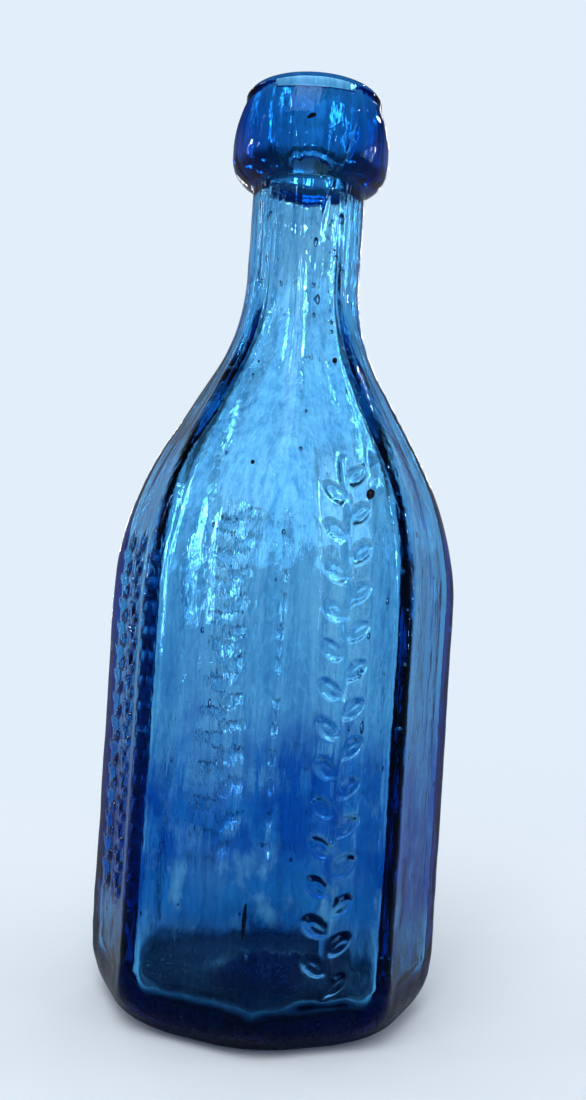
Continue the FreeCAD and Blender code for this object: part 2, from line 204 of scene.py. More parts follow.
def make_floor():
    """A wide pale disc. Near the bottle it takes shadow, and further out it is the background."""
    bm = bmesh.new()
    bmesh.ops.create_circle(bm, cap_ends=True, radius=FLOOR_REACH, segments=96)
    mesh = bpy.data.meshes.new("floor")
    bm.to_mesh(mesh)
    bm.free()
    floor = bpy.data.objects.new("floor", mesh)
    scene.collection.objects.link(floor)
    material = bpy.data.materials.new("pale_floor")
    material.use_nodes = True
    nodes, links = material.node_tree.nodes, material.node_tree.links
    nodes.clear()
    place = nodes.new("ShaderNodeTexCoord")
    distance = nodes.new("ShaderNodeVectorMath")
    distance.operation = "LENGTH"
    paint = nodes.new("ShaderNodeBsdfPrincipled")
    paint.inputs["Base Color"].default_value = FLOOR_PAINT
    paint.inputs["Roughness"].default_value = 0.9
    paint.inputs["Specular IOR Level"].default_value = 0.1
    glow = nodes.new("ShaderNodeEmission")
    glow.inputs["Color"].default_value = BACKGROUND
    mix = nodes.new("ShaderNodeMixShader")
    out = nodes.new("ShaderNodeOutputMaterial")
    links.new(place.outputs["Object"], distance.inputs[0])
    fade = ranged(nodes, links, distance.outputs["Value"], FADE_START, FADE_END, 0.0, 1.0)
    links.new(fade, mix.inputs["Fac"])
    links.new(paint.outputs[0], mix.inputs[1])
    links.new(glow.outputs[0], mix.inputs[2])
    mirrored = ray_kinds(nodes, links)[2]
    dimmed = nodes.new("ShaderNodeMixShader")
    dark = nodes.new("ShaderNodeEmission")
    dark.inputs["Strength"].default_value = 0.0
    links.new(joined(nodes, links, "MULTIPLY", mirrored, 1.0 - MIRRORED), dimmed.inputs["Fac"])
    links.new(mix.outputs[0], dimmed.inputs[1])
    links.new(dark.outputs[0], dimmed.inputs[2])
    links.new(dimmed.outputs[0], out.inputs["Surface"])
    mesh.materials.append(material)
    return floor


floor = make_floor()
print("floor, metres across:", round(floor.dimensions.x, 2))

# %% [markdown]
# ## Lamps
#
# A soft panel of light from above gives the surface its gloss. One strong sun could make the glints,
# but it would light only one side. So narrow lamps and small square ones stand all round. They are
# seldom seen straight through the panels, and mostly only edges, ripples and bubbles bend the view
# far enough to catch them.

# %% Soft panel and small lamps
LAMP_AIM = Vector((0, 0, 0.09))
PANEL_AZIMUTH, PANEL_DISTANCE, PANEL_HEIGHT = -35, 0.6, 1.0
PANEL_SIZE = (0.6, 0.6)
PANEL_WATTS = 6.0
GLINT_AZIMUTHS = (50, 76, 143, 176, 232, 262, 322)
GLINT_DISTANCE = 1.0
GLINT_SIZE = (0.02, 0.40)
GLINT_WATTS = 0.5
GLINT_FOOT, GLINT_STEP = 0.12, 0.16
SPARK_COUNT, SPARK_START = 14, 8
SPARK_SIZE = (0.035, 0.035)
SPARK_WATTS = 0.3
SPARK_FOOT, SPARK_STEP = 0.5, 0.3


def make_panel_light(name, azimuth, distance, height, size, watts):
    """A rectangular lamp that looks at the middle of the bottle."""
    data = bpy.data.lights.new(name, "AREA")
    data.shape = "RECTANGLE"
    data.size, data.size_y = size
    data.energy = watts
    lamp = bpy.data.objects.new(name, data)
    turn = math.radians(azimuth)
    lamp.location = (distance * math.sin(turn), -distance * math.cos(turn), height)
    aim = LAMP_AIM - lamp.location
    lamp.rotation_euler = aim.to_track_quat("-Z", "Y").to_euler()
    lamp.visible_camera = False
    scene.collection.objects.link(lamp)


make_panel_light("top_panel", PANEL_AZIMUTH, PANEL_DISTANCE, PANEL_HEIGHT, PANEL_SIZE, PANEL_WATTS)
for number, azimuth in enumerate(GLINT_AZIMUTHS):
    height = GLINT_FOOT + GLINT_STEP * (number % 3)
    make_panel_light(f"glint_{number}", azimuth, GLINT_DISTANCE, height, GLINT_SIZE, GLINT_WATTS)
for number in range(SPARK_COUNT):
    azimuth = SPARK_START + 360 * number / SPARK_COUNT
    height = SPARK_FOOT + SPARK_STEP * (number % 3)
    make_panel_light(f"spark_{number}", azimuth, GLINT_DISTANCE, height, SPARK_SIZE, SPARK_WATTS)

# %% [markdown]
# ## The half section
#
# A bottle like this could be turned, lofted or cut from a block. Turning suits the lip, the neck
# and the inside, so the whole glass starts as one closed half section up a corner: outside, over
# the lip, down the bore and the inside, and back under the base. The flats have a section of
# their own, and the eight sides come later from the difference between the two.

# %% Sizes in millimetres
HEIGHT = 186.4
FLAT_REACH = 32.75
CORNER_REACH = 35.2
HEEL_ROUND, HEEL_CORNER_ROUND = 7.8, 11.0
FOOT_FLAT, FOOT_CORNER = 26.5, 27.3
RING_REACH, RING_ROUND = 24.0, 3.0
PUSH_UP = 4.0
SCAR_REACH = 10.0
NECK_BASE = 148.0
NECK_REACH = 11.6
LIP_BASE = 166.0
LIP_REACH, LIP_ROLL, LIP_SIDE, LIP_TOP_ROUND = 16.1, 5.5, 23.0, 3.5
LIP_BAND_FOOT, LIP_BAND_HEAD = 171.5, 173.5
# Turn of the lip's long side, in degrees, up to where its soft top begins.
LIP_TURN = 24.5
MOUTH_BEVEL = 1.2
BORE = 8.3
HOLLOW_NECK = 8.1
INNER_FLAT, INNER_CORNER = 28.5, 30.55
FLOOR_TOP = 5.2
FLOOR_FLAT_REACH = 14.0
FLOOR_ROUND = 6.5
WELL_FLAT, WELL_CORNER = 24.0, 25.6
CROWN_RISE = 4.0
# The shoulder's convex radius, its concave radius and the turn of its flank in degrees.
OUTER_CORNER_SHOULDER = (62.5, 41.0, 30.75)
OUTER_FLAT_SHOULDER = (66.8, 43.8, 29.1)
INNER_CORNER_SHOULDER = (57.8, 45.7, 30.75)
INNER_FLAT_SHOULDER = (62.6, 48.0, 29.1)


def arc(centre, radius, start, end, steps):
    """Points of an arc in (reach, height), from one angle in degrees to another, ends included."""
    turns = [math.radians(start + (end - start) * i / steps) for i in range(steps + 1)]
    return [(centre[0] + radius * math.cos(t), centre[1] + radius * math.sin(t)) for t in turns]


def straight(start, end, steps):
    """Points between two ends, without the ends."""
    return [
        tuple(a + (b - a) * i / steps for a, b in zip(start, end)) for i in range(1, steps)
    ]


def foot_points(foot, body, radius, floor, steps):
    """The round from a flat floor up into an upright wall."""
    across = foot - body + radius
    rise = math.sqrt(radius ** 2 - across ** 2)
    start = -math.degrees(math.acos(across / radius))
    return arc((body - radius, floor + rise), radius, start, 0, steps)


def shoulder_points(body, neck, top, convex, concave, flank, steps):
    """Convex arc, straight flank and concave arc, from the upright body to the neck."""
    turn = math.radians(flank)
    slope = ((body - neck) - (convex + concave) * (1 - math.cos(turn))) / math.sin(turn)
    base = top - (convex + concave) * math.sin(turn) - slope * math.cos(turn)
    lower = arc((body - convex, base), convex, 0, flank, steps)
    upper = arc((neck + concave, top), concave, 180 + flank, 180, steps)
    return lower + straight(lower[-1], upper[0], steps // 2) + upper


def side_points(foot, shoulder, trunk_steps, top, neck_steps):
    """One side from its foot to the top of the neck."""
    trunk = straight(foot[-1], shoulder[0], trunk_steps)
    neck = straight(shoulder[-1], (shoulder[-1][0], top), neck_steps)
    return foot + trunk + shoulder + neck


def lip_points():
    """The rolled lip: round underside, widest band, long side, soft top and the mouth's edge."""
    roll = arc((LIP_REACH - LIP_ROLL, LIP_BAND_FOOT), LIP_ROLL, -79, 0, 14)
    side = arc((LIP_REACH - LIP_SIDE, LIP_BAND_HEAD), LIP_SIDE, 0, LIP_TURN, 12)
    middle = side[-1][0] - LIP_TOP_ROUND * math.cos(math.radians(LIP_TURN))
    soft = arc((middle, HEIGHT - LIP_TOP_ROUND), LIP_TOP_ROUND, LIP_TURN, 90, 8)
    mouth = arc((BORE + MOUTH_BEVEL, HEIGHT - MOUTH_BEVEL), MOUTH_BEVEL, 90, 180, 6)
    return roll + side[1:] + soft + mouth


def underside_points():
    """The hollow under the base: flat scar, low cone and the round of the resting ring."""
    scar = [(SCAR_REACH * i / 5, PUSH_UP) for i in range(6)]
    ring = arc((RING_REACH, RING_ROUND), RING_ROUND, 253, 270, 5)
    return scar + straight(scar[-1], ring[0], 8) + ring


def crown_points(start, steps):
    """The low crown in the middle of the inner floor, down to the axis."""
    reach, height = start
    return [
        (reach * (1 - i / steps), height + CROWN_RISE * math.sin(math.pi / 2 * i / steps) ** 2)
        for i in range(1, steps + 1)
    ]


OUTER_CORNER_SIDE = side_points(
    foot_points(FOOT_CORNER, CORNER_REACH, HEEL_CORNER_ROUND, 0, 18),
    shoulder_points(CORNER_REACH, NECK_REACH, NECK_BASE, *OUTER_CORNER_SHOULDER, 22), 56,
    LIP_BASE, 22,
)
OUTER_FLAT_SIDE = side_points(
    foot_points(FOOT_FLAT, FLAT_REACH, HEEL_ROUND, 0, 40),
    shoulder_points(FLAT_REACH, NECK_REACH, NECK_BASE, *OUTER_FLAT_SHOULDER, 40), 2,
    LIP_BASE, 2,
)
INNER_CORNER_SIDE = side_points(
    foot_points(WELL_CORNER, INNER_CORNER, FLOOR_ROUND, FLOOR_TOP, 14),
    shoulder_points(INNER_CORNER, HOLLOW_NECK, NECK_BASE, *INNER_CORNER_SHOULDER, 18), 34,
    HEIGHT - MOUTH_BEVEL, 20,
)
INNER_FLAT_SIDE = side_points(
    foot_points(WELL_FLAT, INNER_FLAT, FLOOR_ROUND, FLOOR_TOP, 40),
    shoulder_points(INNER_FLAT, HOLLOW_NECK, NECK_BASE, *INNER_FLAT_SHOULDER, 40), 2,
    HEIGHT - MOUTH_BEVEL, 2,
)
inside = [(max(reach, BORE), height) for reach, height in reversed(INNER_CORNER_SIDE)]
crown_edge = (FLOOR_FLAT_REACH, FLOOR_TOP)
section = {
    "underside": underside_points(),
    "outside": OUTER_CORNER_SIDE,
    "lip": lip_points(),
    "inside": inside[1:] + straight(inside[-1], crown_edge, 5) + [crown_edge]
    + crown_points(crown_edge, 8),
}
print("section points:", {name: len(points) for name, points in section.items()})

# %% [markdown]
# ## Turning the section
#
# Each point carries three numbers: whether it belongs to the inside, whether it lies on the inner
# floor, and how round the glass is at that height, from 0 for a sharp octagon to 1 for a circle.
# Spinning copies them to every new point, so the later steps know where they are.

# %% Spin the glass
TURNS = 208
# The corners of the shoulder stay crisp from this height on, and how far, outside and inside.
CRISP_FOOT, CRISP_RISE, CRISP_FALL = 98, 16, 14
CRISP_OUTSIDE, CRISP_INSIDE = 0.35, 0.7
SIDE = math.pi / 4
FLAT_SHARE = math.cos(SIDE / 2)


def reach_at(points, height):
    """Reach of a side at a height, between the points of its profile."""
    for (near, low), (far, high) in zip(points[:-1], points[1:]):
        if height <= high:
            share = max(0.0, (height - low) / max(high - low, 1e-9))
            return near + (far - near) * share
    return points[-1][0]


def roundness(corner, flat):
    """How round the outline is whose corners and flats have these reaches."""
    return min(1.0, max(0.0, (flat / corner - FLAT_SHARE) / (1 - FLAT_SHARE)))


def crisped(share, height, most):
    """Keeps the corners of the shoulder crisp until just under the neck."""
    low = min(1.0, max(0.0, (height - CRISP_FOOT) / CRISP_RISE))
    high = min(1.0, max(0.0, (NECK_BASE + 1 - height) / CRISP_FALL))
    return share * (1 - most * low * high)


def on_inner_floor(reach, height):
    """True on the inner floor and its crown."""
    return reach < WELL_CORNER + 0.5 and height < FLOOR_TOP + CROWN_RISE + 0.5


def roundness_of(part, reach, height):
    """How round one point of the section is."""
    if part == "lip" or height > LIP_BASE:
        return 1.0
    if part == "underside":
        edge = roundness(FOOT_CORNER, FOOT_FLAT)
        return 1 - (1 - edge) * (reach / RING_REACH) ** 2
    if part == "outside":
        share = roundness(reach, reach_at(OUTER_FLAT_SIDE, height))
        return crisped(share, height, CRISP_OUTSIDE)
    if reach < WELL_CORNER and on_inner_floor(reach, height):
        edge = roundness(WELL_CORNER, WELL_FLAT)
        return 1 - (1 - edge) * (reach / WELL_CORNER) ** 2
    share = roundness(reach, max(BORE, reach_at(INNER_FLAT_SIDE, height)))
    return crisped(share, height, CRISP_INSIDE)


def spin_glass():
    """Draws the half section as a chain of edges and spins it into one closed skin."""
    bm = bmesh.new()
    round_layer = bm.verts.layers.float.new("roundness")
    inner_layer = bm.verts.layers.float.new("inner")
    floor_layer = bm.verts.layers.float.new("floor")
    chain = []
    for part in ("underside", "outside", "lip", "inside"):
        for reach, height in section[part]:
            vert = bm.verts.new((0, -reach * MM, height * MM))
            vert[round_layer] = roundness_of(part, reach, height)
            vert[inner_layer] = float(part == "inside")
            vert[floor_layer] = float(part == "inside" and on_inner_floor(reach, height))
            chain.append(vert)
    edges = [bm.edges.new(pair) for pair in zip(chain[:-1], chain[1:])]
    bmesh.ops.spin(
        bm, geom=chain + edges, cent=(0, 0, 0), axis=(0, 0, 1), dvec=(0, 0, 0),
        angle=math.tau, steps=TURNS, use_merge=True, use_duplicate=False,
    )
    bmesh.ops.remove_doubles(bm, verts=bm.verts, dist=0.002 * MM)
    bmesh.ops.recalc_face_normals(bm, faces=bm.faces)
    return bm, round_layer, inner_layer


glass, round_layer, inner_layer = spin_glass()
print("turned glass:", len(glass.verts), "points,", len(glass.faces), "faces")

# %% [markdown]
# ## Eight sides
#
# A rounded octagon is flat over most of each side and an arc at each corner, and both have a
# simple formula for the reach at an angle. A roundness of 1 gives a circle. The points also slide
# along the outline towards the corners, where the curve is tight.

# %% Shape the sides
CROWDING = 0.62


def octagon_reach(azimuth, share):
    """Reach of a rounded octagon whose corners are at 1, for a corner arc of radius `share`."""
    from_corner = abs(azimuth % SIDE - SIDE / 2)
    skeleton = 1 - share
    tangent = math.atan2(share * math.sin(SIDE / 2), skeleton + share * math.cos(SIDE / 2))
    if from_corner < tangent:
        across = skeleton * math.sin(from_corner)
        return skeleton * math.cos(from_corner) + math.sqrt(share ** 2 - across ** 2)
    flat = skeleton * math.cos(SIDE / 2) + share
    return flat / math.cos(SIDE / 2 - from_corner)


def shape_sides():
    """Moves every point from the turned form to the eight-sided one."""
    for vert in glass.verts:
        turned = math.hypot(vert.co.x, vert.co.y)
        if turned < 0.01 * MM:
            continue
        azimuth = math.atan2(vert.co.x, -vert.co.y)
        azimuth += CROWDING * math.sin(8 * azimuth) / 8
        reach = turned * octagon_reach(azimuth, vert[round_layer])
        vert.co.x = reach * math.sin(azimuth)
        vert.co.y = -reach * math.cos(azimuth)


shape_sides()
print("widest, millimetres:", round(max(v.co.x for v in glass.verts) / MM, 3))

# %% [markdown]
# ## A finer skin for fine shapes
#
# The moulded bands and the fold across the neck are made of shapes a millimetre wide, which need
# small faces. The whole skin could be divided, but that would make it far too heavy. So only the
# patches under those shapes are divided, and the faces beside them take up the new points.

# %% Divide the patches that carry fine shapes
BANDS = [
    # panel, middle across, half width, foot, head
    (0, 0.6, 4.5, 10.0, 111.0),
    (4, 0.0, 4.4, 16.0, 104.0),
    (6, -4.6, 3.0, 22.0, 94.0),
    (6, 4.6, 3.0, 22.0, 94.0),
]
PATCH_MARGIN = 1.4
# The crease runs from its upper end to its lower one, in degrees round and millimetres up.
CREASE_TOP, CREASE_FOOT = (13.5, 177.0), (-12.7, 147.0)
CREASE_DEPTH, CREASE_WIDTH = 0.45, 0.38


def band_place(point):
    """Gives the panel and the place (across, up) in millimetres of a point of the outside."""
    reach = math.hypot(point.x, point.y) / MM
    azimuth = math.atan2(point.x, -point.y)
    panel = round(azimuth / SIDE)
    return panel % 8, reach * math.sin(azimuth - panel * SIDE), point.z / MM


def from_crease(point):
    """Distance of a point from the crease's line, in millimetres, and the place along it."""
    share = (CREASE_TOP[1] - point.z / MM) / (CREASE_TOP[1] - CREASE_FOOT[1])
    azimuth = math.degrees(math.atan2(point.x, -point.y))
    middle = CREASE_TOP[0] + (CREASE_FOOT[0] - CREASE_TOP[0]) * share + 1.6 * math.sin(7 * share)
    reach = math.hypot(point.x, point.y) / MM
    return math.radians(azimuth - middle) * reach, share


def in_patch(point):
    """True where a point of the outside lies in or near a band of relief or the crease."""
    across_crease, share = from_crease(point)
    if -0.05 < share < 1.05 and abs(across_crease) < 1.2:
        return True
    panel, across, up = band_place(point)
    return any(
        panel == band and abs(across - middle) < half + PATCH_MARGIN
        and foot - PATCH_MARGIN < up < head + PATCH_MARGIN
        for band, middle, half, foot, head in BANDS
    )


def divide_patches(cuts):
    """Divides the faces under the fine shapes, and their neighbours take up the new points."""
    outer = [f for f in glass.faces if all(v[inner_layer] < 0.5 for v in f.verts)]
    chosen = [f for f in outer if f.normal.z > -0.5 and in_patch(f.calc_center_median())]
    edges = {e for f in chosen for e in f.edges}
    bmesh.ops.subdivide_edges(glass, edges=list(edges), cuts=cuts, use_grid_fill=True)
    return len(chosen)


print("faces divided:", divide_patches(2), "->", len(glass.faces))

# %% [markdown]
# ## Relief, crease and hand-made unevenness
#
# The moulded bands are plain leafy stems that stand up by most of a millimetre in sunk beds. Where
# the lip was laid on, a fold was left in the soft glass, which runs down across the neck. Old glass
# is never quite even either: its panels sink a little as they cool, and the surface keeps slow
# waves and upright streaks. A bump texture could fake all this, but only moved points bend the view
# through the glass as the real shapes do.

# %% Raise the leafy stems and sink the panels
LEAF_PITCH = 7.0
LEAF_LEAN = math.radians(38)
# Height of the relief in a wide band and in a narrow one.
RELIEF_HEIGHT, NARROW_HEIGHT = 0.95, 0.55
WIDE_BAND = 4.0
PANEL_SINK, PANEL_HALF = 0.35, 12.4
# Where the two skins read the noise, and how much stronger the inner one's waves are.
OUTER_NOISE, INNER_NOISE = 1.7, 7.3
INNER_WAVES = 1.5


def soft_step(value):
    """Smooth rise from 0 to 1."""
    value = min(1.0, max(0.0, value))
    return value * value * (3 - 2 * value)


def stem_relief(across, up, half, foot, head):
    """Height, from 0 to 1, of a stem with leaves on both sides in turn."""
    if not foot < up < head or abs(across) > half + 0.5:
        return 0.0
    size = half / 4.4
    ends = soft_step((up - foot) / 2) * soft_step((head - up) / 2)
    bend = 0.35 * size * math.sin(math.tau * (up - foot) / (2 * LEAF_PITCH * size))
    height = 0.9 * soft_step(1.6 - abs(across - bend) / (0.6 * size)) * ends
    pitch = LEAF_PITCH * size
    for side in (-1, 1):
        start = foot + (3.2 if side > 0 else 3.2 + LEAF_PITCH / 2) * size
        number = round((up - start) / pitch)
        if not 0 <= number <= (head - start - 2 * size) / pitch:
            continue
        centre = start + number * pitch
        x = side * across - 2.4 * size
        y = up - centre
        along = x * math.cos(LEAF_LEAN) + y * math.sin(LEAF_LEAN)
        over = -x * math.sin(LEAF_LEAN) + y * math.cos(LEAF_LEAN)
        leaf = math.hypot(along / (2.6 * size), over / (1.35 * size))
        vein = 0.45 * soft_step(1.2 - abs(over) / (0.45 * size))
        vein *= soft_step(1.1 - abs(along) / (2 * size))
        height = max(height, soft_step((1.12 - leaf) * 2.6) - vein)
    return height


def waves(point, seed):
    """Slow unevenness of hand-blown glass, in millimetres, mostly level rings and upright folds."""
    x, y, z = (c / MM for c in point)
    azimuth = math.atan2(x, -y)
    around = Vector((math.cos(azimuth), math.sin(azimuth), 0))
    rings = noise.noise(around * 0.8 + Vector((seed, 0, z / 6.5)))
    folds = noise.noise(around * 5.0 + Vector((0, seed, z / 48.0)))
    streaks = noise.noise(around * 15.0 + Vector((seed, 3.1, z / 30.0)))
    dents = noise.noise(around * 2.6 + Vector((seed, seed, z / 15.0)))
    pits = noise.noise(Vector((x / 2.4, y / 2.4, z / 3.2 + seed)))
    upper = soft_step((z - 100) / 30)
    low = soft_step((40 - z) / 25)
    foot = soft_step((16 - z) / 6)
    return (0.10 * rings + 0.10 * folds + 0.16 * dents + (0.04 + 0.07 * upper) * streaks
            + (0.04 + 0.08 * low + 0.10 * foot) * pits)


def crease_depth(point):
    """Depth of the fold that was left when the lip was laid on, in millimetres."""
    across, share = from_crease(point)
    if not 0 < share < 1 or abs(across) > 1.3:
        return 0.0
    fading = soft_step(share * 8) * (1 - 0.75 * soft_step(share * 1.4 - 0.3))
    return CREASE_DEPTH * fading * math.exp(-(across / CREASE_WIDTH) ** 2)


def finish_surface():
    """Sinks the panels, leaves the relief standing and adds waves and crease to the skin."""
    for vert in glass.verts:
        reach = math.hypot(vert.co.x, vert.co.y)
        if reach < 1.0 * MM:
            continue
        up = vert.co.z / MM
        outward = Vector((vert.co.x, vert.co.y, 0)).normalized()
        if vert[inner_layer] > 0.5:
            calm = soft_step((up - 8) / 3) * soft_step((182 - up) / 20)
            vert.co += outward * (MM * calm * INNER_WAVES * waves(vert.co, INNER_NOISE))
            continue
        panel, across, up = band_place(vert.co)
        size = min(1.0, reach / MM / FLAT_REACH)
        flatness = soft_step(up / 9) * soft_step((128 - up) / 22)
        sink = flatness * PANEL_SINK * max(0.0, 1 - (across / (PANEL_HALF * size)) ** 4)
        relief = 0.0
        for band, middle, half, foot, head in BANDS:
            if panel == band:
                relief = max(relief, stem_relief(across - middle, up, half, foot, head))
                bed = soft_step((half + 2.6 - abs(across - middle)) / 2.2)
                bed *= soft_step((up - foot + 2) / 3) * soft_step((head + 5 - up) / 9)
                sink = max(sink, bed * (RELIEF_HEIGHT if half > WIDE_BAND else NARROW_HEIGHT))
        wave = min(0.0, waves(vert.co, OUTER_NOISE) - 0.12) * soft_step((up - 3) / 6)
        wave *= soft_step((186 - up) / 6) * (1 - relief)
        vert.co += outward * (MM * (wave - sink * (1 - relief) - crease_depth(vert.co)))


finish_surface()
print("widest after the waves:", round(max(v.co.x for v in glass.verts) / MM, 3))

# %% [markdown]
# ## Seeds
#
# Seeds are gas bubbles in the glass, drawn out upwards where the glass was stretched. They could be
# painted on, but a real bubble bends the light. So each is a small closed skin inside the wall,
# turned inside out, because it is a hole in the glass. They are made in a mesh of their own and
# joined to the glass at the end, which is much quicker.

# %% Seeds in the wall
SEED_COUNT, BASE_SEED_COUNT = 260, 60
# Larger bubbles that show at a glance: degrees round, millimetres up, size.
BUBBLES = [(10.9, 137.3, 0.42), (10.0, 135.3, 0.36), (-72.0, 145.5, 0.4), (31, 96, 0.5)]


def wall_place(azimuth, height, depth):
    """A point inside the wall, at a depth from the outside, all in degrees and millimetres."""
    turn = math.radians(azimuth)
    if height > LIP_BASE:
        near = min(section["lip"], key=lambda p: abs(p[1] - height) - 0.2 * p[0])
        reach = near[0] - depth
    else:
        corner = reach_at(OUTER_CORNER_SIDE, height)
        share = roundness(corner, reach_at(OUTER_FLAT_SIDE, height))
        reach = corner * octagon_reach(turn, share) - depth
    return Vector((reach * math.sin(turn), -reach * math.cos(turn), height)) * MM


def make_lumps(places, subdivisions):
    """A mesh of small round lumps, each (place, turn, size across, size along), as one bmesh."""
    lumps = bmesh.new()
    for place, turn, across, along in places:
        stretch = Matrix.Diagonal((across, across, along, 1 / MM)) * MM
        matrix = Matrix.Translation(place) @ turn @ stretch
        bmesh.ops.create_icosphere(lumps, subdivisions=subdivisions, radius=1.0, matrix=matrix)
    return lumps


def seed_places():
    """Scatters small bubbles, drawn out upwards as blown glass draws them."""
    draw = random.Random(4)
    places = []
    for _ in range(SEED_COUNT):
        azimuth = draw.uniform(-180, 180)
        height = draw.choice((draw.uniform(12, 80), draw.uniform(80, 140), draw.uniform(140, 165)))
        depth = draw.uniform(1.5, 2.4)
        size = draw.choice((0.16, 0.20, 0.26, 0.34, 0.46)) * draw.uniform(0.8, 1.2)
        place = wall_place(azimuth, height, depth)
        places.append((place, Matrix.Identity(4), size, size * draw.uniform(1.0, 2.4)))
    for _ in range(BASE_SEED_COUNT):
        turn, reach = draw.uniform(0, math.tau), draw.uniform(17, 24.5)
        size = draw.uniform(0.12, 0.30)
        place = Vector((reach * math.sin(turn), -reach * math.cos(turn), draw.uniform(2.9, 4.4)))
        places.append((place * MM, Matrix.Identity(4), size, size))
    for azimuth, height, size in BUBBLES:
        places.append((wall_place(azimuth, height, 1.7), Matrix.Identity(4), size, size * 1.3))
    return places


def add_seeds():
    """Joins the bubbles to the glass, with their faces turned inwards."""
    seeds = make_lumps(seed_places(), 2)
    bmesh.ops.recalc_face_normals(seeds, faces=seeds.faces)
    bmesh.ops.reverse_faces(seeds, faces=seeds.faces)
    mesh = bpy.data.meshes.new("seeds")
    seeds.to_mesh(mesh)
    seeds.free()
    glass.from_mesh(mesh)
    bpy.data.meshes.remove(mesh)


add_seeds()
print("glass with seeds:", len(glass.faces), "faces")

# %% [markdown]
# ## Deep blue glass
#
# Glass has no surface colour. Its blue comes from what the light loses on its way through, so the
# colour is an absorption in the volume: thin places stay light and thick corners go nearly black,
# as on the real bottle. Fine ripples come from a bump, because they are too small for the mesh.
# Tints on the glass could be a layer of paint, but that would look dull. So the tints only change
# what passes the surface. They are painted shade: in streaks, over the lower body, on the underside,
# over the inner floor and on the lip. A hazy film inside blurs what passes.

# %% Glass material
# What the glass takes of red, green and blue on a metre of way.
ABSORB = (268, 105, 37)
DENSITY = 400.0
CLEAR = (1, 1, 1, 1)
GLOSS_TINT = (0.06, 0.2, 0.5, 1)
# Painted shade that darkens the lower body on the outside.
LOWER_BODY_SHADE = (0.012, 0.18, 0.54, 1)
# The hazy film inside and the painted shade outside fade out upwards and downwards between these
# heights, in metres, and the edge wanders.
FILM_SHADE_FOOT, FILM_SHADE_HEAD = 0.036, 0.073
FILM_SHADE_END, FILM_SHADE_START = 0.010, 0.026
FILM_SHADE_WANDER = 0.012
# Painted shade darkens most of the inner floor, with small gaps like grains.
INNER_FLOOR_SHADE = (0.015, 0.04, 0.09, 1)
# Painted shade darkens the outside of the lip.
LIP_SHADE = (0.40, 0.60, 0.74, 1)
LIP_START, LIP_END = (0.1655, 0.1675), (0.1835, 0.1855)
# The underside is scuffed and darkened by painted shade, up to this height.
UNDERSIDE_SHADE = (0.08, 0.12, 0.18, 1)
SCUFF_SHADE_FOOT, SCUFF_SHADE_HEAD = 0.002, 0.006
# Painted shade in upright streaks, for the uneven light seen through the glass.
STREAK_SHADE = (0.52, 0.66, 0.78, 1)


def noise_texture(nodes, links, vector, scale, detail):
    """A noise texture at a scale given for each axis."""
    squeeze = nodes.new("ShaderNodeMapping")
    squeeze.inputs["Scale"].default_value = scale
    texture = nodes.new("ShaderNodeTexNoise")
    texture.inputs["Scale"].default_value = 1.0
    texture.inputs["Detail"].default_value = detail
    links.new(vector, squeeze.inputs["Vector"])
    links.new(squeeze.outputs["Vector"], texture.inputs["Vector"])
    return texture.outputs["Fac"]


def times(nodes, links, first, second):
    """Multiplies two values."""
    return joined(nodes, links, "MULTIPLY", first, second)


def attribute(nodes, name):
    """A number that the mesh carries."""
    node = nodes.new("ShaderNodeAttribute")
    node.attribute_name = name
    return node.outputs["Fac"]


def tinted(nodes, links, colour, layer, factor):
    """Multiplies a colour by a layer's colour, as far as the factor says."""
    mix = nodes.new("ShaderNodeMix")
    mix.data_type = "RGBA"
    mix.blend_type = "MULTIPLY"
    if isinstance(colour, tuple):
        mix.inputs["A"].default_value = colour
    else:
        links.new(colour, mix.inputs["A"])
    mix.inputs["B"].default_value = layer
    links.new(factor, mix.inputs["Factor"])
    return mix.outputs["Result"]


